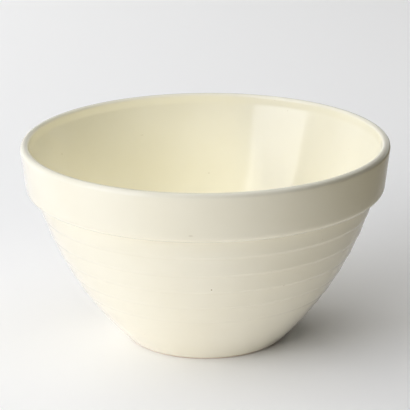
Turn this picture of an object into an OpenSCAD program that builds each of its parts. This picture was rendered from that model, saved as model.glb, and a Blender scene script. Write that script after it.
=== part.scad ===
// Banded mixing bowl: a fired clay body under a glaze coat, standing on a bare foot ring.
// Millimetres, +Z up, origin at the centre of the foot on the table.

/* [Bowl] */
// Outside diameter over the glaze, at the top of the collar
rim_d = 270; // [230:1:320]
// Height from the table to the top of the lip
height = 149; // [125:1:180]
// Outside diameter of the foot, where the belly curve meets the table
foot_d = 116; // [90:1:150]
// Radius of the belly curve in section
belly_r = 250; // [200:5:400]

/* [Wall] */
// Thickness of the body wall, square to the belly curve
wall = 6.8; // [5:0.2:10]
// Thickness of the floor above the hollow under the foot
floor_t = 7; // [5:0.5:12]
// Radius of the round between the inside wall and the floor
floor_round = 30; // [10:1:40]

/* [Lip] */
// Thickness of the lip
lip_t = 6; // [5:0.2:9]
// Radius of its inner edge, and its outer edge takes the rest of the thickness as its radius
lip_inner_r = 1.4; // [1:0.1:2.4]
// Depth of the upright stretch inside the lip, from the top of the lip
lip_depth = 8; // [7:0.5:14]
// How far that stretch leans in
lip_lean = 0.6; // [0:0.1:2]
// Radius of the soft corner below that stretch
lip_corner = 10; // [4:1:20]

/* [Collar] */
// Height of the collar, from its underside to the top of the lip
collar_h = 37; // [25:1:50]
// How much the collar narrows to its lower edge, on the radius
collar_taper = 4; // [1:0.5:7]
// How far the collar stands out from the body below it
collar_step = 7; // [4:0.5:9]
// Radius of the collar's lower edge
collar_round = 6; // [2:0.5:7]
// Radius of the corner between the collar's underside and the body
corner_round = 2; // [0.5:0.1:3]

/* [Bands] */
// Number of stepped bands below the collar
band_count = 5; // [2:1:7]
// Pitch of the bands along the belly curve
band_pitch = 16; // [11:0.5:18]
// How far the lower edge of the top band stands out
band_step = 0.6; // [0.4:0.1:1.4]
// Share of that step that is lost by the lowest band
band_fade = 0.5; // [0:0.05:0.8]
// Height of the sloped ledge under each band
band_ledge = 2.4; // [1:0.1:3]
// Radius of the corners of each ledge
band_round = 4; // [0.4:0.2:5]

/* [Foot] */
// Width of the foot ring
foot_ring_w = 7; // [5:0.5:12]
// Depth of the hollow under the foot
foot_hollow = 3; // [1.5:0.5:5]
// Radius of the foot's outer edge
foot_round = 0.6; // [0.4:0.1:1.2]
// Radius of the corner in the hollow
hollow_round = 1.2; // [0.4:0.1:2]

/* [Glaze] */
// Thickness of the glaze
glaze_t = 0.4; // [0.3:0.05:0.6]
// Height of the bare clay between the table and the glaze
glaze_line = 1; // [0.8:0.1:4]

/* [Hidden] */
$fn = 180;
// Straight steps in a long curve and in a small round
curve_steps = 20;
round_steps = 6;
// The most of a side that the round of a corner may take up, and the same for the collar's lower edge
round_share = 0.45;
edge_share = 0.8;

rim_r = rim_d / 2;
foot_r = foot_d / 2;
floor_h = foot_hollow + floor_t;
lip_outer_r = lip_t - lip_inner_r;
crest_r = rim_r - lip_outer_r;
collar_low = [rim_r - collar_taper, height - collar_h];
body_top = collar_low - [collar_step, 0];

function polar(centre, radius, angle) = centre + radius * [cos(angle), sin(angle)];
function angle_of(centre, p) = atan2(p.y - centre.y, p.x - centre.x);
function degrees_for(run, radius) = run / radius * 180 / PI;

// Points of an arc, both ends included
function arc(centre, radius, from, to, steps) =
    [for (i = [0:steps]) polar(centre, radius, from + (to - from) * i / steps)];

// Centre of the arc of the given radius that bulges to the right of the way from p to q
function arc_centre(p, q, radius) =
    let (
        chord = q - p,
        half = norm(chord) / 2,
        across = [-chord.y, chord.x] / (2 * half)
    ) (p + q) / 2 + across * sqrt(radius * radius - half * half);

// Arc that rounds the corner c on the way from p to q, with its radius limited by the two sides
function rounded(p, c, q, radius, share = round_share) =
    let (
        u = (p - c) / norm(p - c),
        v = (q - c) / norm(q - c),
        half = acos(u * v) / 2,
        fit = min(radius, share * min(norm(p - c), norm(q - c)) * tan(half)),
        middle = c + (u + v) / norm(u + v) * fit / sin(half),
        start = angle_of(middle, c + u * fit / tan(half)),
        turn = angle_of(middle, c + v * fit / tan(half)) - start,
        sweep = turn > 180 ? turn - 360 : turn < -180 ? turn + 360 : turn
    ) arc(middle, fit, start, start + sweep, round_steps);

function reversed(list) = [for (i = [len(list) - 1:-1:0]) list[i]];

// The belly curve and its angles at the glaze line, at each ledge and at the collar
belly = arc_centre([foot_r, 0], body_top, belly_r);
belly_top = angle_of(belly, body_top);
glaze_end = asin((glaze_line - belly.y) / belly_r);
function ledge(i) = belly_top - degrees_for(band_pitch * i, belly_r);
// The plain belly ends a little below the lowest ledge, to leave its corner room for a round
plain_top = ledge(band_count) - degrees_for(band_pitch / 4, belly_r);

// Outside section, at a depth under the finished surface
function ledge_corner(i, depth) =
    i == 0 ? body_top + [-depth, depth] :
    i > band_count ? polar(belly, belly_r - depth, plain_top) :
    polar(belly, belly_r - depth, ledge(i) + degrees_for(depth, belly_r));

function step_at(i) = band_step * (1 - band_fade * (i - 1) / (band_count - 1));
function ledge_edge(i, depth) =
    i > band_count ? ledge_corner(i, depth) :
    polar(belly, belly_r + step_at(i) - depth, ledge(i) + degrees_for(band_ledge + depth, belly_r));

function band(i, depth) = concat(
    rounded(ledge_edge(i + 1, depth), ledge_corner(i, depth), ledge_edge(i, depth), band_round),
    rounded(ledge_corner(i, depth), ledge_edge(i, depth), ledge_corner(i - 1, depth), band_round)
);

function collar(depth) =
    let (
        corner = ledge_corner(0, depth),
        low = collar_low + [-depth, depth],
        high = [rim_r - depth, height - lip_outer_r]
    ) concat(
        rounded(ledge_edge(1, depth), corner, low, corner_round, 1 - edge_share),
        rounded(corner, low, high, collar_round, edge_share)
    );

function outside(depth) = concat(
    arc(belly, belly_r - depth, glaze_end, plain_top, curve_steps),
    [for (i = [band_count:-1:1]) each band(i, depth)],
    collar(depth)
);

// The lip, over its crest from the outside to the inside
function lip(depth) = concat(
    arc([crest_r, height - lip_outer_r], lip_outer_r - depth, 0, 90, round_steps),
    [for (i = [1:round_steps])
        polar([crest_r, height - lip_inner_r], lip_inner_r - depth, 90 + 90 * i / round_steps)]
);

// Inside section: the wall keeps its thickness and then opens straight to the lip
inside_r = belly_r - wall;
floor_bend = [
    belly.x + sqrt(pow(inside_r - floor_round, 2) - pow(floor_h + floor_round - belly.y, 2)),
    floor_h + floor_round
];

function inside(depth) =
    let (
        radius = inside_r + depth,
        lip_inner = [rim_r - lip_t + depth, height - lip_inner_r],
        lip_low = [rim_r - lip_t - lip_lean + depth, height - lip_depth],
        straight_end = angle_of(belly, lip_low) - acos(radius / norm(lip_low - belly)),
        floor_end = angle_of(belly, floor_bend)
    ) concat(
        rounded(lip_inner, lip_low, polar(belly, radius, straight_end), lip_corner),
        arc(belly, radius, straight_end, floor_end, curve_steps),
        arc(floor_bend, floor_round + depth, floor_end, -90, round_steps),
        [[0, floor_h - depth]]
    );

// The glazed section, from the glaze line outside, over the lip, to the middle of the floor
function glazed(depth) = concat(
    outside(depth),
    lip(depth),
    inside(depth)
);

// The bare foot, from the middle of its hollow to the glaze line
clay_foot_r = belly.x + sqrt(pow(belly_r - glaze_t, 2) - pow(belly.y, 2));
hollow_r = clay_foot_r - foot_ring_w;
function bare_foot() =
    let (
        hollow_top = [0, foot_hollow],
        hollow_corner = [hollow_r, foot_hollow],
        ring_inner = [hollow_r, 0],
        ring_outer = [clay_foot_r, 0],
        glaze_edge = polar(belly, belly_r - glaze_t, glaze_end)
    ) concat(
        [hollow_top],
        rounded(hollow_top, hollow_corner, ring_inner, hollow_round),
        [ring_inner],
        rounded(ring_inner, ring_outer, glaze_edge, foot_round)
    );

module clay_body()
    color("burlywood")
        rotate_extrude()
            polygon(concat(bare_foot(), glazed(glaze_t)));

module glaze_coat()
    color("cornsilk")
        rotate_extrude()
            polygon(concat(glazed(0), reversed(glazed(glaze_t))));

module base_glaze()
    color("cornsilk")
        translate([0, 0, foot_hollow - glaze_t])
            cylinder(h = glaze_t, r = hollow_r - hollow_round);

clay_body();
glaze_coat();
base_glaze();
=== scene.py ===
"""A banded mixing bowl in cream glaze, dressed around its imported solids.

Lengths are in metres, +Z is up, and the origin is the centre of the foot on the table.
"""
import logging
import math
from dataclasses import dataclass
from enum import Enum
from typing import Any

import bmesh
import bpy
from mathutils import Matrix, Vector


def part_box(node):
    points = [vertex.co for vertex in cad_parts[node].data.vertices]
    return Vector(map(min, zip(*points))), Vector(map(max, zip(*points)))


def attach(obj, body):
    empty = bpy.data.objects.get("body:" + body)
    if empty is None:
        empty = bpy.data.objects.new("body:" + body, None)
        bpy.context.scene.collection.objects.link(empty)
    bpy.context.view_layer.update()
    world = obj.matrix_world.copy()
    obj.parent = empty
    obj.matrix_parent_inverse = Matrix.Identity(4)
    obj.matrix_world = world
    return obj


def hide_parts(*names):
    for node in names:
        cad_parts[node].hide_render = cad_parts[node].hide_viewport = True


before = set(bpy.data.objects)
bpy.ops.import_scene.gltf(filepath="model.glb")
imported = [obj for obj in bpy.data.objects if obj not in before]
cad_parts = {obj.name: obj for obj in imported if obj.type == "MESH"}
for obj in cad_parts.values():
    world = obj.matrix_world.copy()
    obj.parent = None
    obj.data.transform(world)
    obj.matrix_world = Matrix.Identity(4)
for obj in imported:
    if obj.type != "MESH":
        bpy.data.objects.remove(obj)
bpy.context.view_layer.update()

log = logging.getLogger("bowl")

MM = 0.001
FULL_TURN = 2 * math.pi
BODY = "root"
CURL = "curl"
IMAGE_PX = 410

Colour = tuple[float, float, float]


def polar(centre: Vector, radius: float, angle: float) -> Vector:
    """The point of a circle at an angle from the outward direction, in the section's plane."""
    return centre + radius * Vector((math.cos(angle), math.sin(angle)))


def angle_of(centre: Vector, point: Vector) -> float:
    """The angle at which a point lies from a centre, in the section's plane."""
    return math.atan2(point.y - centre.y, point.x - centre.x)


def tangent_half_angle(centre: Vector, radius: float, point: Vector) -> float:
    """The angle at a circle's centre between a point and where its tangents touch the circle."""
    return math.acos(radius / (point - centre).length)


def direction(turn: float, rise: float = 0.0) -> Vector:
    """Find a direction from the bowl.

    Args:
        turn: Angle to the left of the camera, in degrees.
        rise: Angle above the table, in degrees.

    Returns:
        The direction, of length 1.
    """
    turn, rise = math.radians(turn), math.radians(rise)
    level = math.cos(rise)
    return Vector((-math.sin(turn) * level, -math.cos(turn) * level, math.sin(rise)))


class Layer(Enum):
    """The two faces of the glaze that a section can follow."""

    SKIN = "finished surface"
    CLAY = "clay under the glaze"


@dataclass(frozen=True)
class Fineness:
    """How finely a section is drawn: the longest stretch left whole, and the steps in its curves."""

    longest: float
    curve_steps: int = 1
    round_steps: int = 1
    lip_steps: int = 1


FINENESS: dict[Layer, Fineness] = {
    Layer.SKIN: Fineness(longest=3 * MM, curve_steps=36, round_steps=8, lip_steps=12),
    Layer.CLAY: Fineness(longest=40 * MM, curve_steps=14, round_steps=2, lip_steps=5),
}


class SectionPen:
    """Draws half sections stroke by stroke in the XZ plane, and turns them about the Z axis."""

    weld = 1e-6

    def __init__(self) -> None:
        """Start with an empty sheet."""
        self.bm = bmesh.new()
        self.tip: bmesh.types.BMVert | None = None
        self.corners: list[tuple[bmesh.types.BMVert, float]] = []

    def start(self, point: Vector) -> None:
        """Put the pen down at a point."""
        self.tip = self.bm.verts.new((point.x, 0.0, point.y))

    def line(self, end: Vector, radius: float = 0.0) -> None:
        """Draw a straight stroke.

        Args:
            end: Where the stroke ends.
            radius: Radius of the round at that end, or 0 for none.
        """
        made = bmesh.ops.extrude_vert_indiv(self.bm, verts=[self.tip])
        self.tip = made["verts"][0]
        self.tip.co = (end.x, 0.0, end.y)
        if radius > 0:
            self.corners.append((self.tip, radius))

    def arc(self, centre: Vector, sweep: float, steps: int) -> None:
        """Draw an arc from the tip.

        Args:
            centre: Centre of the arc.
            sweep: Angle of the arc, positive from the outward direction to the upward one.
            steps: Number of straight steps in it.
        """
        made = bmesh.ops.spin(
            self.bm, geom=[self.tip], cent=(centre.x, 0.0, centre.y),
            axis=(0, -1, 0), angle=sweep, steps=steps,
        )
        self.tip = next(item for item in made["geom_last"] if isinstance(item, bmesh.types.BMVert))

    def finish_stroke(self, fineness: Fineness) -> None:
        """Lift the pen, round the corners of the stroke and divide its long straight stretches.

        Args:
            fineness: Number of steps in a round, and the longest stretch left whole.
        """
        for vert, radius in self.corners:
            sides = [(edge.other_vert(vert).co - vert.co).normalized() for edge in vert.link_edges]
            half_angle = sides[0].angle(sides[1]) / 2
            bmesh.ops.bevel(
                self.bm, geom=[vert], offset=radius / math.tan(half_angle), offset_type="OFFSET",
                affect="VERTICES", segments=fineness.round_steps, profile=0.5, material=-1,
            )
        self.corners.clear()
        for edge in list(self.bm.edges):
            cuts = int(edge.calc_length() / fineness.longest)
            if cuts:
                bmesh.ops.subdivide_edges(self.bm, edges=[edge], cuts=cuts)
        self.tip = None

    def turn(self, steps: int) -> bmesh.types.BMesh:
        """Turn all that is drawn into a closed shell.

        Args:
            steps: Number of flats round the shell.

        Returns:
            The shell, with its poles and its seam closed and its faces outwards.
        """
        bm = self.bm
        bmesh.ops.remove_doubles(bm, verts=bm.verts[:], dist=self.weld)
        bmesh.ops.spin(
            bm, geom=bm.verts[:] + bm.edges[:], cent=(0, 0, 0), axis=(0, 0, 1),
            angle=FULL_TURN, steps=steps, use_merge=True,
        )
        bmesh.ops.remove_doubles(bm, verts=bm.verts[:], dist=self.weld)
        bmesh.ops.recalc_face_normals(bm, faces=bm.faces[:])
        return bm


@dataclass(frozen=True)
class BowlSection:
    """Half section of the bowl, with the driving sizes of its solids.

    Three are a little softer than there: the lip's inner round, the bend under it and the bands' step.
    """

    rim_r: float
    height: float
    glaze_t: float
    glaze_line: float
    foot_r: float = 58 * MM
    belly_r: float = 250 * MM
    wall: float = 6.8 * MM
    floor_t: float = 7 * MM
    floor_round: float = 30 * MM
    lip_t: float = 6 * MM
    lip_inner_r: float = 2.6 * MM
    lip_depth: float = 7 * MM
    lip_lean: float = 0.6 * MM
    lip_facet: float = 2.5 * MM
    lip_corner: float = 10 * MM
    collar_h: float = 37 * MM
    collar_taper: float = 4 * MM
    collar_step: float = 7 * MM
    collar_round: float = 6 * MM
    band_count: int = 5
    band_pitch: float = 16 * MM
    band_step: float = 0.55 * MM
    band_fade: float = 0.5
    band_ledge: float = 2.4 * MM
    band_round: float = 4 * MM
    plain_gap: float = 4 * MM
    corner_round: float = 2 * MM
    foot_ring_w: float = 7 * MM
    foot_hollow: float = 3 * MM
    foot_round: float = 0.6 * MM
    hollow_round: float = 1.2 * MM

    @classmethod
    def from_frame(cls) -> "BowlSection":
        """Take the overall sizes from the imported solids.

        Returns:
            The section.
        """
        glaze_low, glaze_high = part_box("glaze_coat")
        clay_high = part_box("clay_body")[1]
        return cls(
            rim_r=glaze_high.x,
            height=glaze_high.z,
            glaze_t=glaze_high.z - clay_high.z,
            glaze_line=glaze_low.z,
        )

    def depth(self, layer: Layer) -> float:
        """How far a layer lies under the finished surface."""
        return 0.0 if layer is Layer.SKIN else self.glaze_t

    @property
    def lip_outer_r(self) -> float:
        """Radius of the lip's outer round, which runs from the collar to the crest."""
        return self.lip_t - self.lip_inner_r

    def lip_centre(self, radius: float) -> Vector:
        """Centre of a round of the lip that touches the crest."""
        return Vector((self.rim_r - self.lip_outer_r, self.height - radius))

    @property
    def body_top(self) -> Vector:
        """Where the belly curve meets the underside of the collar."""
        return Vector((self.rim_r - self.collar_taper - self.collar_step, self.height - self.collar_h))

    @property
    def belly(self) -> Vector:
        """Find the belly curve, which runs from the foot to the underside of the collar.

        Returns:
            The centre of the curve.
        """
        foot = Vector((self.foot_r, 0.0))
        chord = self.body_top - foot
        across = Vector((-chord.y, chord.x)).normalized()
        half = chord.length / 2
        return (foot + self.body_top) / 2 + across * math.sqrt(self.belly_r**2 - half**2)

    @property
    def glaze_end(self) -> float:
        """Angle of the glaze line on the belly curve."""
        return math.asin((self.glaze_line - self.belly.y) / self.belly_r)

    @property
    def floor_h(self) -> float:
        """Height of the inside floor."""
        return self.foot_hollow + self.floor_t

    def ledge(self, band: int, run: float = 0.0) -> float:
        """Angle of a band's ledge on the belly curve, and of a point a run of length above it."""
        return angle_of(self.belly, self.body_top) - (self.band_pitch * band - run) / self.belly_r

    def ledge_corner(self, band: int, depth: float) -> Vector:
        """Find the inner corner under a band.

        Args:
            band: Number of the band from the top, where 0 is the collar.
            depth: How far the layer lies under the finished surface.

        Returns:
            The corner.
        """
        if band == 0:
            return self.body_top + Vector((-depth, depth))
        return polar(self.belly, self.belly_r - depth, self.ledge(band, depth))

    def ledge_edge(self, band: int, depth: float) -> Vector:
        """Find the lower edge of a band, which stands out from the belly curve.

        Args:
            band: Number of the band from the top.
            depth: How far the layer lies under the finished surface.

        Returns:
            The edge, before it is rounded.
        """
        run = self.band_ledge + depth
        step = self.band_step * (1 - self.band_fade * (band - 1) / (self.band_count - 1))
        return polar(self.belly, self.belly_r + step - depth, self.ledge(band, run))

    def collar_low(self, depth: float) -> Vector:
        """The lower edge of the collar, before it is rounded."""
        return self.body_top + Vector((self.collar_step - depth, depth))

    def lip_low(self, depth: float) -> Vector:
        """The lower end of the upright stretch inside the lip."""
        return Vector((self.rim_r - self.lip_t - self.lip_lean + depth, self.height - self.lip_depth))

    def start(self, layer: Layer) -> Vector:
        """The end of the glaze above the foot, on a layer."""
        return polar(self.belly, self.belly_r - self.depth(layer), self.glaze_end)

    def draw(self, pen: SectionPen, layer: Layer) -> None:
        """Draw a layer from the glaze line outside, over the lip, to the middle of the floor.

        Args:
            pen: The pen, put down at the layer's start.
            layer: The face of the glaze to follow.
        """
        self.draw_outside(pen, layer)
        self.draw_lip(pen, layer)
        self.draw_inside(pen, layer)
        pen.finish_stroke(FINENESS[layer])

    def draw_outside(self, pen: SectionPen, layer: Layer) -> None:
        """Draw the plain belly, the stepped bands and the lower edge of the collar.

        Args:
            pen: The pen, at the glaze line.
            layer: The face of the glaze to follow.
        """
        depth = self.depth(layer)
        plain_top = self.ledge(self.band_count, -self.plain_gap)
        pen.arc(self.belly, plain_top - self.glaze_end, FINENESS[layer].curve_steps)
        for band in range(self.band_count, 0, -1):
            pen.line(self.ledge_corner(band, depth), self.band_round)
            pen.line(self.ledge_edge(band, depth), self.band_round)
        pen.line(self.ledge_corner(0, depth), self.corner_round)
        pen.line(self.collar_low(depth), self.collar_round)

    def draw_lip(self, pen: SectionPen, layer: Layer) -> None:
        """Draw the collar's side and the lip's two rounds, which meet at the crest.

        Args:
            pen: The pen, at the lower edge of the collar.
            layer: The face of the glaze to follow.
        """
        depth, steps = self.depth(layer), FINENESS[layer].lip_steps
        outer_centre, inner_centre = self.lip_centre(self.lip_outer_r), self.lip_centre(self.lip_inner_r)
        outer_r, inner_r = self.lip_outer_r - depth, self.lip_inner_r - depth
        outer, inner = self.collar_low(depth), self.lip_low(depth)
        begin = angle_of(outer_centre, outer) + tangent_half_angle(outer_centre, outer_r, outer)
        end = angle_of(inner_centre, inner) - tangent_half_angle(inner_centre, inner_r, inner)
        pen.line(polar(outer_centre, outer_r, begin))
        pen.arc(outer_centre, math.pi / 2 - begin, steps)
        pen.arc(inner_centre, (end - math.pi / 2) % FULL_TURN, steps)

    def draw_inside(self, pen: SectionPen, layer: Layer) -> None:
        """Draw the upright stretch inside the lip, the opening wall and the floor.

        Args:
            pen: The pen, at the end of the lip's inner round.
            layer: The face of the glaze to follow.
        """
        depth = self.depth(layer)
        steps = FINENESS[layer].curve_steps
        radius = self.belly_r - self.wall + depth
        upper = self.lip_low(depth)
        wall_end = angle_of(self.belly, upper) - tangent_half_angle(self.belly, radius, upper)
        wall_start = polar(self.belly, radius, wall_end)
        lower = upper + (wall_start - upper).normalized() * self.lip_facet
        bend_h = self.floor_h + self.floor_round
        reach = self.belly_r - self.wall - self.floor_round
        bend = Vector((self.belly.x + math.sqrt(reach**2 - (bend_h - self.belly.y) ** 2), bend_h))
        floor_end = angle_of(self.belly, bend)
        pen.line(upper, self.lip_corner)
        pen.line(lower)
        pen.line(wall_start)
        pen.arc(self.belly, floor_end - wall_end, steps)
        pen.arc(bend, -math.pi / 2 - floor_end, steps // 2)
        pen.line(Vector((0.0, self.floor_h - depth)))


class NodeSheet:
    """A node tree, with short calls that add nodes and join them."""

    # Sockets of a Mix node for colours: the share and the two colours, and the result.
    mix_inputs = (0, 6, 7)
    mix_output = 2

    def __init__(self, tree: bpy.types.NodeTree) -> None:
        """Write on a tree."""
        self.tree = tree

    def join(self, source: bpy.types.NodeSocket, target: bpy.types.NodeSocket) -> None:
        """Feed one socket from another."""
        self.tree.links.new(source, target)

    def node(
        self, kind: str, inputs: dict[str | int, Any] | None = None, **settings: Any
    ) -> bpy.types.Node:
        """Add a node.

        Args:
            kind: The node's type.
            inputs: Sockets by name or number, each with a value or with the socket that feeds it.
            **settings: The node's own options.

        Returns:
            The new node.
        """
        node = self.tree.nodes.new(kind)
        for name, value in settings.items():
            setattr(node, name, value)
        for socket, value in (inputs or {}).items():
            if isinstance(value, bpy.types.NodeSocket):
                self.join(value, node.inputs[socket])
            else:
                node.inputs[socket].default_value = value
        return node

    def math(self, operation: str, *values: Any) -> bpy.types.NodeSocket:
        """The result of a Math node on values or sockets."""
        return self.node("ShaderNodeMath", dict(enumerate(values)), operation=operation).outputs[0]

    def vector(self, operation: str, *values: Any) -> Any:
        """The outputs of a Vector Math node on values or sockets."""
        return self.node("ShaderNodeVectorMath", dict(enumerate(values)), operation=operation).outputs

    def axes(self, vector: Any) -> Any:
        """The outputs X, Y and Z of a vector."""
        return self.node("ShaderNodeSeparateXYZ", {0: vector}).outputs

    def mix(self, share: Any, first: Any, second: Any) -> bpy.types.NodeSocket:
        """The colour that lies a share of the way from the first colour to the second."""
        inputs = dict(zip(self.mix_inputs, (share, first, second)))
        return self.node("ShaderNodeMix", inputs, data_type="RGBA").outputs[self.mix_output]

    def ramp(
        self, value: Any, low: Any, high: Any, start: float = 0.0, end: float = 1.0
    ) -> bpy.types.NodeSocket:
        """A soft ramp of a value, from start at low to end at high."""
        inputs = {"Value": value, "From Min": low, "From Max": high, "To Min": start, "To Max": end}
        return self.node("ShaderNodeMapRange", inputs, interpolation_type="SMOOTHSTEP").outputs[0]

    def noise(self, inputs: dict[str | int, Any], **settings: Any) -> bpy.types.NodeSocket:
        """A noise pattern from -1 to 1."""
        pattern = self.node("ShaderNodeTexNoise", inputs, **settings).outputs[0]
        return self.math("MULTIPLY_ADD", pattern, 2.0, -1.0)

    def group(self, tree: bpy.types.NodeTree, inputs: dict[str | int, Any]) -> Any:
        """The outputs of a shared group, placed with its own values."""
        return self.node("ShaderNodeGroup", inputs, node_tree=tree).outputs

    def object_place(self) -> bpy.types.NodeSocket:
        """The place on the piece, in Object coordinates."""
        return self.node("ShaderNodeTexCoord").outputs["Object"]


class Effects:
    """The shader node groups that the finishes share."""

    # The slow drift that sways the turning lines, and the detail of the lines themselves.
    sway_scale = 12.0
    sway_detail = 1.0
    line_detail = 2.0
    # The share of its radius in which a speck or a spot is at full strength.
    speck_core = 0.5
    spot_core = 0.4

    def __init__(self) -> None:
        """Build each group once."""
        self.clouds = self.make_clouds()
        self.turning = self.make_turning()
        self.specks = self.make_specks()
        self.spot = self.make_spot()

    @staticmethod
    def blank(name: str, takes: dict[str, str], gives: dict[str, str]) -> tuple[NodeSheet, Any, Any]:
        """Start a group.

        Args:
            name: Name of the group.
            takes: Input sockets by name, with their types.
            gives: Output sockets by name, with their types.

        Returns:
            The group's sheet, the sockets that feed it and the sockets that it feeds.
        """
        tree = bpy.data.node_groups.new(name, "ShaderNodeTree")
        for way, sockets in (("INPUT", takes), ("OUTPUT", gives)):
            for label, kind in sockets.items():
                tree.interface.new_socket(name=label, in_out=way, socket_type="NodeSocket" + kind)
        sheet = NodeSheet(tree)
        return sheet, sheet.node("NodeGroupInput").outputs, sheet.node("NodeGroupOutput").inputs

    def cloud(self, sheet: NodeSheet, place: Any, size: float, detail: float) -> bpy.types.NodeSocket:
        """A drift of tone of the given size on a material's sheet."""
        return sheet.group(self.clouds, {"Vector": place, "Size": size, "Detail": detail})["Tone"]

    def scatter(
        self, sheet: NodeSheet, place: Any, spacing: float, radius: float, share: float
    ) -> bpy.types.NodeSocket:
        """A mask of scattered specks on a material's sheet."""
        values = {"Vector": place, "Spacing": spacing, "Radius": radius, "Share": share}
        return sheet.group(self.specks, values)["Mask"]

    def make_clouds(self) -> bpy.types.NodeTree:
        """Make slow drifts of tone and thickness, from -1 to 1.

        Returns:
            The group.
        """
        sheet, takes, gives = self.blank(
            "firing_clouds", {"Vector": "Vector", "Size": "Float", "Detail": "Float"}, {"Tone": "Float"}
        )
        scale = sheet.math("DIVIDE", 1.0, takes["Size"])
        drift = sheet.noise({"Vector": takes["Vector"], "Scale": scale, "Detail": takes["Detail"]})
        sheet.join(drift, gives["Tone"])
        return sheet.tree

    def make_turning(self) -> bpy.types.NodeTree:
        """Make fine rings as the forming tool leaves them, from -1 to 1.

        Returns:
            The group.
        """
        sheet, takes, gives = self.blank(
            "turning_lines", {"Vector": "Vector", "Pitch": "Float", "Sway": "Float"}, {"Line": "Float"}
        )
        axes = sheet.axes(takes["Vector"])
        squares = [sheet.math("POWER", axes[name], 2.0) for name in ("X", "Y")]
        across = sheet.math("SQRT", sheet.math("ADD", *squares))
        level = sheet.math("ADD", axes["Z"], across)
        lines = sheet.math("DIVIDE", level, takes["Pitch"])
        drift = {"Vector": takes["Vector"], "Scale": self.sway_scale, "Detail": self.sway_detail}
        sway = sheet.node("ShaderNodeTexNoise", drift).outputs[0]
        swayed = sheet.math("MULTIPLY_ADD", sway, takes["Sway"], lines)
        ring = {"W": swayed, "Scale": 1.0, "Detail": self.line_detail}
        sheet.join(sheet.noise(ring, noise_dimensions="1D"), gives["Line"])
        return sheet.tree

    def make_specks(self) -> bpy.types.NodeTree:
        """Make a mask of scattered specks, of which only a share of the possible ones show.

        Returns:
            The group.
        """
        sheet, takes, gives = self.blank(
            "body_specks",
            {"Vector": "Vector", "Spacing": "Float", "Radius": "Float", "Share": "Float"},
            {"Mask": "Float"},
        )
        scale = sheet.math("DIVIDE", 1.0, takes["Spacing"])
        cells = sheet.node("ShaderNodeTexVoronoi", {"Vector": takes["Vector"], "Scale": scale})
        reach = sheet.math("DIVIDE", takes["Radius"], takes["Spacing"])
        core = sheet.math("MULTIPLY", reach, self.speck_core)
        spot = sheet.ramp(cells.outputs["Distance"], core, reach, 1.0, 0.0)
        chance = sheet.node("ShaderNodeSeparateColor", {0: cells.outputs["Color"]}).outputs[0]
        shown = sheet.math("LESS_THAN", chance, takes["Share"])
        sheet.join(sheet.math("MULTIPLY", spot, shown), gives["Mask"])
        return sheet.tree

    def make_spot(self) -> bpy.types.NodeTree:
        """Make a soft mask of one spot.

        Returns:
            The group.
        """
        sheet, takes, gives = self.blank(
            "glaze_spot",
            {"Vector": "Vector", "Place": "Vector", "Squeeze": "Vector", "Radius": "Float"},
            {"Mask": "Float"},
        )
        offset = sheet.vector("SUBTRACT", takes["Vector"], takes["Place"])[0]
        squeezed = sheet.vector("MULTIPLY", offset, takes["Squeeze"])[0]
        away = sheet.vector("LENGTH", squeezed)["Value"]
        core = sheet.math("MULTIPLY", takes["Radius"], self.spot_core)
        sheet.join(sheet.ramp(away, core, takes["Radius"], 1.0, 0.0), gives["Mask"])
        return sheet.tree


def rgba(colour: Colour) -> tuple[float, float, float, float]:
    """A colour with its alpha, for a socket."""
    return (*colour, 1.0)


def new_material(name: str) -> tuple[bpy.types.Material, NodeSheet, bpy.types.Node]:
    """Start a material.

    Args:
        name: Name of the material.

    Returns:
        The material, its sheet and its Principled BSDF.
    """
    material = bpy.data.materials.new(name)
    material.use_nodes = True
    sheet = NodeSheet(material.node_tree)
    return material, sheet, sheet.tree.nodes["Principled BSDF"]


def emboss(
    sheet: NodeSheet, shader: bpy.types.Node, patterns: list[tuple[bpy.types.NodeSocket, float]]
) -> None:
    """Raise patterns on a surface.

    Args:
        sheet: The material's sheet.
        shader: Its Principled BSDF.
        patterns: Patterns from -1 to 1, each with its height in millimetres.
    """
    height: Any = 0.0
    for pattern, tall in patterns:
        height = sheet.math("MULTIPLY_ADD", pattern, tall, height)
    bump = sheet.node("ShaderNodeBump", {"Height": height, "Distance": MM})
    sheet.join(bump.outputs[0], shader.inputs["Normal"])


@dataclass(frozen=True)
class Mark:
    """A small flaw in the glaze, or a painted highlight on it.

    Turn is its angle to the left of the camera, in degrees. Out, its distance from the bowl's axis, is
    in millimetres, and so are its height and its radius. Share is how far its colour covers the glaze.
    Squeeze scales distances along each axis, so that a mark is longer along an axis with a small one.
    """

    turn: float
    out: float
    height: float
    radius: float
    colour: Colour
    share: float
    squeeze: tuple[float, float, float] = (1.0, 1.0, 1.0)

    @property
    def place(self) -> Vector:
        """The middle of the mark, in metres."""
        return (direction(self.turn) * self.out + Vector((0.0, 0.0, self.height))) * MM


PIT: Colour = (0.38, 0.26, 0.07)
# Pale colour of the halo round the pinhole, and of the painted highlight on the lip.
HALO_AND_HIGHLIGHT: Colour = (0.94, 0.91, 0.76)
STAIN: Colour = (0.6, 0.53, 0.36)
MARKS: tuple[Mark, ...] = (
    Mark(-2.0, 109.3, 71.3, 2.0, HALO_AND_HIGHLIGHT, 0.6),
    Mark(-1.9, 109.3, 71.5, 0.8, PIT, 0.9),
    Mark(-30.3, 108.0, 68.7, 0.9, STAIN, 0.5),
    Mark(4.5, 131.8, 118.6, 0.7, STAIN, 0.5, squeeze=(0.3, 1.0, 1.0)),
    Mark(116.6, 121.4, 122.6, 0.9, STAIN, 0.45),
    Mark(-178.6, 109.5, 90.0, 0.8, STAIN, 0.45),
    Mark(155.9, 120.9, 121.1, 0.5, STAIN, 0.35, squeeze=(0.2, 0.5, 1.0)),
    # Painted highlight: a pale glint on the dark outer round of the lip at the front right.
    Mark(-60.8, 134.3, 146.8, 0.8, HALO_AND_HIGHLIGHT, 0.9),
)


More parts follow.
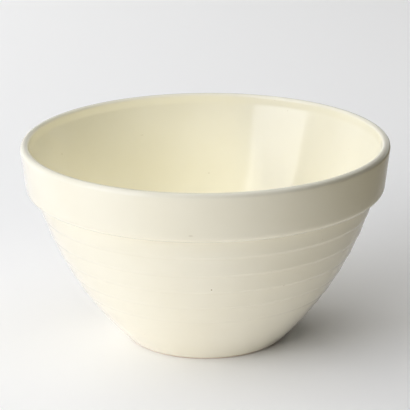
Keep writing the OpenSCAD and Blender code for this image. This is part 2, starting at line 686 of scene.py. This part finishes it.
@dataclass(frozen=True)
class CreamGlaze:
    """Glossy cream glaze: paler where it runs thin over an edge, darker in corners as pooled glaze and
    painted shade.

    An edge or a pool begins, and is full, at a bend of the surface in radians per millimetre, which is
    negative in a corner.
    """

    slot: str = "cream_glaze"
    colour: Colour = (0.867, 0.824, 0.662)
    deep: Colour = (0.847, 0.799, 0.627)
    thin: Colour = (0.89, 0.853, 0.715)
    # Darker colour in corners: pooled glaze, and painted shade that deepens the lines under the ledges.
    pooled_shade: Colour = (0.77, 0.715, 0.52)
    speck: Colour = (0.42, 0.33, 0.2)
    roughness: float = 0.12
    cloud_size: float = 55 * MM
    cloud_detail: float = 3.0
    cloud_range: float = 0.5
    edge_from: float = 0.1
    edge_full: float = 0.9
    # Bends at which the darker corner colour and its painted shade begin and are full, and its strongest
    # share.
    pool_shade_from: float = -0.06
    pool_shade_full: float = -0.3
    pool_shade_share: float = 0.25
    speck_spacing: float = 9 * MM
    speck_r: float = 0.4 * MM
    speck_share: float = 0.22
    speck_strength: float = 0.5
    wave_size: float = 30 * MM
    wave_mm: float = 0.02
    peel_size: float = 2.2 * MM
    peel_mm: float = 0.0012
    bump_detail: float = 1.0

    def make(self, effects: Effects) -> bpy.types.Material:
        """Build the material.

        Args:
            effects: The shared node groups.

        Returns:
            The finished material.
        """
        material, sheet, shader = new_material(self.slot)
        place = sheet.object_place()
        tint = self.lay_colours(sheet, effects, place)
        marked = self.add_marks(sheet, effects, place, tint)
        sheet.join(marked, shader.inputs["Base Color"])
        wave = effects.cloud(sheet, place, self.wave_size, self.bump_detail)
        peel = effects.cloud(sheet, place, self.peel_size, self.bump_detail)
        emboss(sheet, shader, [(wave, self.wave_mm), (peel, self.peel_mm)])
        shader.inputs["Roughness"].default_value = self.roughness
        return material

    def lay_colours(
        self, sheet: NodeSheet, effects: Effects, place: bpy.types.NodeSocket
    ) -> bpy.types.NodeSocket:
        """Lay the drifts of tone, the thin edges, the darker corners with their painted shade and the
        specks over each other.

        Args:
            sheet: The material's sheet.
            effects: The shared node groups.
            place: The place on the piece.

        Returns:
            The colour.
        """
        cloud = effects.cloud(sheet, place, self.cloud_size, self.cloud_detail)
        tone = sheet.ramp(cloud, -self.cloud_range, self.cloud_range)
        ground = sheet.mix(tone, rgba(self.deep), rgba(self.colour))
        curl = sheet.node("ShaderNodeAttribute", attribute_name=CURL).outputs["Fac"]
        edge = sheet.ramp(curl, self.edge_from, self.edge_full)
        paled = sheet.mix(edge, ground, rgba(self.thin))
        # Painted shade in the corners under the ledges, laid as pooled glaze.
        pool_shade = sheet.ramp(curl, self.pool_shade_full, self.pool_shade_from, self.pool_shade_share, 0.0)
        pooled_shade = sheet.mix(pool_shade, paled, rgba(self.pooled_shade))
        specks = effects.scatter(sheet, place, self.speck_spacing, self.speck_r, self.speck_share)
        faint = sheet.math("MULTIPLY", specks, self.speck_strength)
        return sheet.mix(faint, pooled_shade, rgba(self.speck))

    @staticmethod
    def add_marks(
        sheet: NodeSheet, effects: Effects, place: bpy.types.NodeSocket, tint: bpy.types.NodeSocket
    ) -> bpy.types.NodeSocket:
        """Lay the pinhole with its pale halo, the stains and the painted highlight on the lip over the
        glaze.

        Args:
            sheet: The material's sheet.
            effects: The shared node groups.
            place: The place on the piece.
            tint: The colour of the plain glaze.

        Returns:
            The colour with the marks.
        """
        for mark in MARKS:
            spot = {
                "Vector": place, "Place": mark.place,
                "Squeeze": mark.squeeze, "Radius": mark.radius * MM,
            }
            shown = sheet.math("MULTIPLY", sheet.group(effects.spot, spot)["Mask"], mark.share)
            tint = sheet.mix(shown, tint, rgba(mark.colour))
        return tint


@dataclass(frozen=True)
class BareClay:
    """Matt fired clay with fine grit, dark flecks, level turning lines and a smudged foot."""

    slot: str = "bare_clay"
    colour: Colour = (0.76, 0.62, 0.46)
    dark: Colour = (0.64, 0.49, 0.34)
    grog: Colour = (0.42, 0.29, 0.19)
    worn: Colour = (0.5, 0.43, 0.36)
    roughness: float = 0.85
    worn_roughness: float = 0.6
    cloud_size: float = 14 * MM
    cloud_detail: float = 5.0
    cloud_range: float = 0.6
    smudge_size: float = 22 * MM
    smudge_detail: float = 6.0
    smudge_from: float = 0.15
    smudge_full: float = 0.7
    smudge_share: float = 0.55
    wear_from: float = -0.5
    wear_full: float = 0.6
    grog_spacing: float = 2.6 * MM
    grog_r: float = 0.45 * MM
    grog_share: float = 0.3
    grog_strength: float = 0.7
    grit_size: float = 0.7 * MM
    grit_detail: float = 3.0
    grit_mm: float = 0.05
    line_pitch: float = 0.9 * MM
    line_sway: float = 1.2
    line_mm: float = 0.06

    def make(self, effects: Effects) -> bpy.types.Material:
        """Build the material.

        Args:
            effects: The shared node groups.

        Returns:
            The finished material.
        """
        material, sheet, shader = new_material(self.slot)
        place = sheet.object_place()
        smudge = effects.cloud(sheet, place, self.smudge_size, self.smudge_detail)
        tint = self.lay_colours(sheet, effects, place, smudge)
        sheet.join(tint, shader.inputs["Base Color"])
        grit = effects.cloud(sheet, place, self.grit_size, self.grit_detail)
        turning = {"Vector": place, "Pitch": self.line_pitch, "Sway": self.line_sway}
        line = sheet.group(effects.turning, turning)["Line"]
        emboss(sheet, shader, [(grit, self.grit_mm), (line, self.line_mm)])
        rubbed = sheet.ramp(smudge, self.wear_from, self.wear_full, self.roughness, self.worn_roughness)
        sheet.join(rubbed, shader.inputs["Roughness"])
        return material

    def lay_colours(
        self, sheet: NodeSheet, effects: Effects, place: bpy.types.NodeSocket,
        smudge: bpy.types.NodeSocket,
    ) -> bpy.types.NodeSocket:
        """Lay the drifts of tone, the smudges and the flecks over each other.

        Args:
            sheet: The material's sheet.
            effects: The shared node groups.
            place: The place on the piece.
            smudge: The pattern of the smudges.

        Returns:
            The colour.
        """
        cloud = effects.cloud(sheet, place, self.cloud_size, self.cloud_detail)
        tone = sheet.ramp(cloud, -self.cloud_range, self.cloud_range)
        ground = sheet.mix(tone, rgba(self.dark), rgba(self.colour))
        grime = sheet.ramp(smudge, self.smudge_from, self.smudge_full, 0.0, self.smudge_share)
        grubby = sheet.mix(grime, ground, rgba(self.worn))
        flecks = effects.scatter(sheet, place, self.grog_spacing, self.grog_r, self.grog_share)
        shown = sheet.math("MULTIPLY", flecks, self.grog_strength)
        return sheet.mix(shown, grubby, rgba(self.grog))


def store_curl(bm: bmesh.types.BMesh) -> None:
    """Keep, for each point, how sharply the surface turns in section, in radians per millimetre.

    Edges come out positive and corners negative.

    Args:
        bm: The turned shell.
    """
    curl = bm.verts.layers.float.new(CURL)
    for edge in bm.edges:
        first, second = (vert.co for vert in edge.verts)
        level = abs(first.z - second.z) < SectionPen.weld
        ring = abs(first.xy.length - second.xy.length) < SectionPen.weld
        if not (level and ring and edge.is_manifold):
            continue
        width = sum(face.calc_area() for face in edge.link_faces) / (2 * edge.calc_length())
        bend = edge.calc_face_angle_signed() / max(width, SectionPen.weld) * MM
        for vert in edge.verts:
            vert[curl] += bend / 2


def finish_piece(bm: bmesh.types.BMesh, name: str, material: bpy.types.Material) -> bpy.types.Object:
    """Make an object of a finished shell.

    Args:
        bm: The shell, which is freed.
        name: Name of the piece.
        material: Its material.

    Returns:
        The object, which rides on the bowl's body.
    """
    for face in bm.faces:
        face.smooth = True
    mesh = bpy.data.meshes.new(name)
    bm.to_mesh(mesh)
    bm.free()
    mesh.materials.append(material)
    piece = bpy.data.objects.new(name, mesh)
    bpy.context.scene.collection.objects.link(piece)
    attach(piece, BODY)
    return piece


@dataclass
class GlazeCoat:
    """The glaze, one unbroken skin from above the foot, over the lip, to the middle of the floor."""

    section: BowlSection
    flats: int = 192
    bead_steps: int = 6

    def build(self, material: bpy.types.Material) -> bpy.types.Object:
        """Build the skin as a closed shell that starts in a bead, and dress it.

        Args:
            material: The glaze.

        Returns:
            The piece.
        """
        section = self.section
        under, over = section.start(Layer.CLAY), section.start(Layer.SKIN)
        pen = SectionPen()
        pen.start(under)
        pen.arc((under + over) / 2, math.pi, self.bead_steps)
        section.draw(pen, Layer.SKIN)
        pen.start(under)
        section.draw(pen, Layer.CLAY)
        bm = pen.turn(self.flats)
        store_curl(bm)
        piece = finish_piece(bm, "glazed_skin", material)
        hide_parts("glaze_coat")
        return piece


@dataclass
class ClayBody:
    """The fired clay body, bare only at the foot ring and in the hollow inside it."""

    section: BowlSection
    flats: int = 144
    foot_fineness: Fineness = Fineness(longest=4 * MM, round_steps=5)

    def build(self, material: bpy.types.Material) -> bpy.types.Object:
        """Build the body as a closed solid and dress it.

        Args:
            material: The bare clay.

        Returns:
            The piece.
        """
        section = self.section
        belly, clay_r = section.belly, section.belly_r - section.glaze_t
        outer_r = belly.x + math.sqrt(clay_r**2 - belly.y**2)
        hollow_r = outer_r - section.foot_ring_w
        pen = SectionPen()
        pen.start(Vector((0.0, section.foot_hollow)))
        pen.line(Vector((hollow_r, section.foot_hollow)), section.hollow_round)
        pen.line(Vector((hollow_r, 0.0)), section.foot_round)
        pen.line(Vector((outer_r, 0.0)), section.foot_round)
        pen.line(section.start(Layer.CLAY))
        pen.finish_stroke(self.foot_fineness)
        pen.start(section.start(Layer.CLAY))
        section.draw(pen, Layer.CLAY)
        bm = pen.turn(self.flats)
        piece = finish_piece(bm, "fired_clay_body", material)
        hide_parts("clay_body")
        return piece


@dataclass
class BaseGlaze:
    """The thin pool of glaze in the hollow under the foot."""

    flats: int = 128
    edge_steps: int = 10
    fineness: Fineness = Fineness(longest=6 * MM)

    def build(self, material: bpy.types.Material) -> bpy.types.Object:
        """Build the pool with a rounded edge and dress it.

        Args:
            material: The glaze.

        Returns:
            The piece.
        """
        low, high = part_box("base_glaze")
        edge = (high.z - low.z) / 2
        pen = SectionPen()
        pen.start(Vector((0.0, low.z)))
        pen.line(Vector((high.x - edge, low.z)))
        pen.arc(Vector((high.x - edge, low.z + edge)), math.pi, self.edge_steps)
        pen.line(Vector((0.0, high.z)))
        pen.finish_stroke(self.fineness)
        bm = pen.turn(self.flats)
        store_curl(bm)
        piece = finish_piece(bm, "base_glaze_pool", material)
        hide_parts("base_glaze")
        return piece


def hang_lamp(lamp: bpy.types.Light, place: Vector, aim: Vector, mirrored: bool) -> bpy.types.Object:
    """Hang a lamp, which the camera does not see.

    Args:
        lamp: The lamp.
        place: Where it hangs.
        aim: The direction in which it shines.
        mirrored: Whether the glaze shows it.

    Returns:
        The lamp's object.
    """
    hung = bpy.data.objects.new(lamp.name, lamp)
    hung.location = place
    hung.rotation_euler = aim.to_track_quat("-Z", "Y").to_euler()
    hung.visible_camera = False
    hung.visible_glossy = mirrored
    bpy.context.scene.collection.objects.link(hung)
    return hung


class Reach(Enum):
    """What a light falls on."""

    ALL = "all"
    BOWL = "bowl"
    TABLE = "table"


@dataclass(frozen=True)
class Panel:
    """A soft light that faces the bowl.

    Turn is its angle to the left of the camera and rise its angle above the table, in degrees. Across
    and up are the angles that it fills as the bowl sees it. Radiance is its brightness. The glaze shows
    it only if it is mirrored.
    """

    name: str
    turn: float
    rise: float
    across: float
    up: float
    radiance: float
    mirrored: bool = False
    colour: Colour = (1.0, 1.0, 1.0)
    distance: float = 3.0

    def span(self, angle: float) -> float:
        """The length that fills an angle, in degrees, at the panel's distance."""
        return 2 * self.distance * math.tan(math.radians(angle) / 2)

    def build(self, target: Vector, lit: bpy.types.Collection | None) -> None:
        """Hang the panel.

        Args:
            target: The point that it faces.
            lit: The objects that it falls on, or None for all.
        """
        toward = direction(self.turn, self.rise)
        lamp = bpy.data.lights.new(self.name, "AREA")
        lamp.shape = "RECTANGLE"
        lamp.size = self.span(self.across)
        lamp.size_y = self.span(self.up)
        lamp.energy = self.radiance * math.pi * lamp.size * lamp.size_y
        lamp.color = self.colour
        panel = hang_lamp(lamp, target + toward * self.distance, -toward, self.mirrored)
        panel.light_linking.receiver_collection = lit


DAYLIGHT: Colour = (0.945, 0.98, 1.1)
SKYLIGHT: Colour = (0.92, 0.965, 1.11)
LAMPLIGHT: Colour = (1.0, 0.96, 0.78)
PANELS: dict[Reach, tuple[Panel, ...]] = {
    Reach.ALL: (
        Panel("softbox", turn=56, rise=27, across=38, up=32, radiance=2.7, mirrored=True, colour=DAYLIGHT),
    ),
    Reach.BOWL: (
        Panel("side_low", turn=44, rise=13, across=26, up=23, radiance=2.1, colour=SKYLIGHT),
        Panel("front_low", turn=16, rise=14, across=26, up=23, radiance=2.15, colour=LAMPLIGHT),
        Panel("left_low", turn=80, rise=14, across=30, up=22, radiance=0.75, colour=SKYLIGHT),
        Panel("left_top", turn=75, rise=66, across=40, up=30, radiance=2.25, colour=DAYLIGHT),
        Panel("high_left", turn=115, rise=62, across=40, up=30, radiance=1.95, colour=DAYLIGHT),
        Panel("back_high", turn=158, rise=44, across=40, up=24, radiance=0.9),
        Panel("back_top", turn=165, rise=66, across=40, up=30, radiance=1.9),
    ),
    Reach.TABLE: (
        Panel("table_top", turn=0, rise=88, across=60, up=60, radiance=1.05),
        Panel("table_left", turn=95, rise=22, across=60, up=18, radiance=1.6),
        Panel("table_side", turn=80, rise=45, across=40, up=24, radiance=1.35, distance=4.0),
        Panel("table_front", turn=40, rise=20, across=40, up=20, radiance=5.6, distance=5.0),
        Panel("table_back", turn=145, rise=30, across=50, up=20, radiance=2.9, distance=2.4),
        Panel("table_right", turn=-120, rise=40, across=40, up=30, radiance=0.7, distance=4.0),
    ),
}


@dataclass
class Studio:
    """The table, the lights and the pale surroundings.

    The table glows faintly, from nothing at glow_from to its full strength at glow_full around a dark
    place beside the foot. The light that it throws back takes on the shade to the right, from shade_from
    to shade_to. The surroundings are pale up to pale_to and dim above dim_from, in degrees above it.
    """

    table_r: float = 6.0
    table_flats: int = 96
    table_colour: Colour = (0.895, 0.893, 0.885)
    table_roughness: float = 0.9
    table_glow: float = 0.225
    dark_place: Vector = Vector((0.085, 0.01, 0.0))
    glow_from: float = 0.02
    glow_full: float = 0.15
    bounce_colour: Colour = (0.9, 0.893, 0.925)
    shade: Colour = (0.27, 0.23, 0.12)
    shade_from: float = 0.0
    shade_to: float = 0.52
    surroundings: Colour = (0.88, 0.88, 0.88)
    pale_to: float = 3.0
    dim_from: float = 16.0
    target: Vector = Vector((0.0, 0.0, 0.08))
    fill_place: Vector = Vector((0.045, 0.0, 0.105))
    fill_aim: Vector = Vector((-1.0, 0.0, -0.1))
    fill_r: float = 0.075
    fill_radiance: float = 1.75
    fill_colour: Colour = (1.0, 0.99, 0.86)

    def build(self, pieces: list[bpy.types.Object]) -> None:
        """Set up the stage.

        Args:
            pieces: The pieces of the bowl.
        """
        members = {Reach.BOWL: pieces, Reach.TABLE: [self.build_table()]}
        lit = {reach: self.gather(reach, objects) for reach, objects in members.items()}
        self.build_world()
        for reach, panels in PANELS.items():
            for panel in panels:
                panel.build(self.target, lit.get(reach))
        self.build_fill()

    @staticmethod
    def gather(reach: Reach, objects: list[bpy.types.Object]) -> bpy.types.Collection:
        """Gather the objects that a light of a reach falls on.

        Args:
            reach: The reach.
            objects: Its objects.

        Returns:
            The collection.
        """
        lit = bpy.data.collections.new(f"lit_{reach.value}")
        for obj in objects:
            lit.objects.link(obj)
        return lit

    def build_table(self) -> bpy.types.Object:
        """Lay the round table.

        Returns:
            The table.
        """
        bm = bmesh.new()
        bmesh.ops.create_circle(bm, cap_ends=True, segments=self.table_flats, radius=self.table_r)
        mesh = bpy.data.meshes.new("table")
        bm.to_mesh(mesh)
        bm.free()
        mesh.materials.append(self.make_table_finish())
        table = bpy.data.objects.new("table", mesh)
        bpy.context.scene.collection.objects.link(table)
        return table

    def make_table_finish(self) -> bpy.types.Material:
        """Make the table's matt finish, which is see-through from below and lights the bowl a little.

        Returns:
            The finished material.
        """
        material, sheet, shader = new_material("table")
        shader.inputs["Roughness"].default_value = self.table_roughness
        shader.inputs["Specular IOR Level"].default_value = 0.0
        path = sheet.node("ShaderNodeLightPath").outputs
        place = sheet.object_place()
        shaded = sheet.ramp(sheet.axes(place)["X"], self.shade_from, self.shade_to)
        thrown = sheet.mix(shaded, rgba(self.bounce_colour), rgba(self.shade))
        bounced = sheet.math("MAXIMUM", path["Is Diffuse Ray"], path["Is Glossy Ray"])
        colour = sheet.mix(bounced, rgba(self.table_colour), thrown)
        sheet.join(colour, shader.inputs["Base Color"])
        sheet.join(colour, shader.inputs["Emission Color"])
        apart = sheet.vector("DISTANCE", place, self.dark_place)["Value"]
        open_glow = sheet.ramp(apart, self.glow_from, self.glow_full, 0.0, self.table_glow)
        glow = sheet.math("MULTIPLY", path["Is Diffuse Ray"], open_glow)
        sheet.join(glow, shader.inputs["Emission Strength"])
        under = sheet.node("ShaderNodeNewGeometry").outputs["Backfacing"]
        clear = sheet.node("ShaderNodeBsdfTransparent").outputs[0]
        shown = sheet.node("ShaderNodeMixShader", {0: under, 1: shader.outputs[0], 2: clear})
        sheet.join(shown.outputs[0], sheet.tree.nodes["Material Output"].inputs["Surface"])
        return material

    def build_world(self) -> None:
        """Make the surroundings pale, as the glaze mirrors them up to where the dim ceiling begins."""
        world = bpy.data.worlds.new("surroundings")
        bpy.context.scene.world = world
        world.use_nodes = True
        sheet = NodeSheet(world.node_tree)
        path = sheet.node("ShaderNodeLightPath").outputs
        straight = sheet.math("MAXIMUM", path["Is Camera Ray"], path["Is Transmission Ray"])
        upward = sheet.axes(sheet.node("ShaderNodeTexCoord").outputs["Generated"])["Z"]
        pale_to, dim_from = (math.sin(math.radians(rise)) for rise in (self.pale_to, self.dim_from))
        pale = sheet.ramp(upward, pale_to, dim_from, 1.0, 0.0)
        mirrored = sheet.math("MULTIPLY", path["Is Glossy Ray"], pale)
        seen = sheet.math("MAXIMUM", straight, mirrored)
        background = sheet.tree.nodes["Background"]
        background.inputs["Color"].default_value = rgba(self.surroundings)
        sheet.join(seen, background.inputs["Strength"])

    def build_fill(self) -> None:
        """Hang a small fill light in the bowl, which lifts the shaded side of its inside."""
        lamp = bpy.data.lights.new("inside_fill", "AREA")
        lamp.shape = "DISK"
        lamp.size = 2 * self.fill_r
        lamp.energy = self.fill_radiance * (math.pi * self.fill_r) ** 2
        lamp.color = self.fill_colour
        hang_lamp(lamp, self.fill_place, self.fill_aim, mirrored=False)


@dataclass
class PhotoCamera:
    """The camera, placed as the photograph was taken.

    Pitch and roll are in degrees, and the sensor's width is in millimetres.
    """

    focal_px: float = 2269.0
    back: float = 1.594
    up: float = 0.6084
    pitch: float = 17.733
    roll: float = -0.4
    offset_px: float = 0.70
    sensor: float = 36.0
    clip_end: float = 100.0

    def build(self) -> None:
        """Place the camera and make it the scene's own."""
        data = bpy.data.cameras.new("camera")
        data.sensor_width = self.sensor
        data.lens = self.sensor * self.focal_px / IMAGE_PX
        data.shift_x = -self.offset_px / IMAGE_PX
        data.clip_end = self.clip_end
        camera = bpy.data.objects.new("camera", data)
        tilt = Matrix.Rotation(math.pi / 2 - math.radians(self.pitch), 4, "X")
        lean = Matrix.Rotation(math.radians(self.roll), 4, "Z")
        camera.matrix_world = Matrix.Translation((0.0, -self.back, self.up)) @ tilt @ lean
        bpy.context.scene.collection.objects.link(camera)
        bpy.context.scene.camera = camera


def main() -> None:
    """Build the bowl, its surroundings and the camera, and report each piece."""
    logging.basicConfig(level=logging.INFO, format="%(name)s: %(message)s")
    PhotoCamera().build()
    effects = Effects()
    glaze = CreamGlaze().make(effects)
    clay = BareClay().make(effects)
    section = BowlSection.from_frame()
    pieces = [
        ClayBody(section).build(clay),
        GlazeCoat(section).build(glaze),
        BaseGlaze().build(glaze),
    ]
    for piece in pieces:
        log.info("%s has %d faces", piece.name, len(piece.data.polygons))
    Studio().build(pieces)
    bpy.context.scene.view_settings.view_transform = "Standard"


if __name__ == "__main__":
    main()
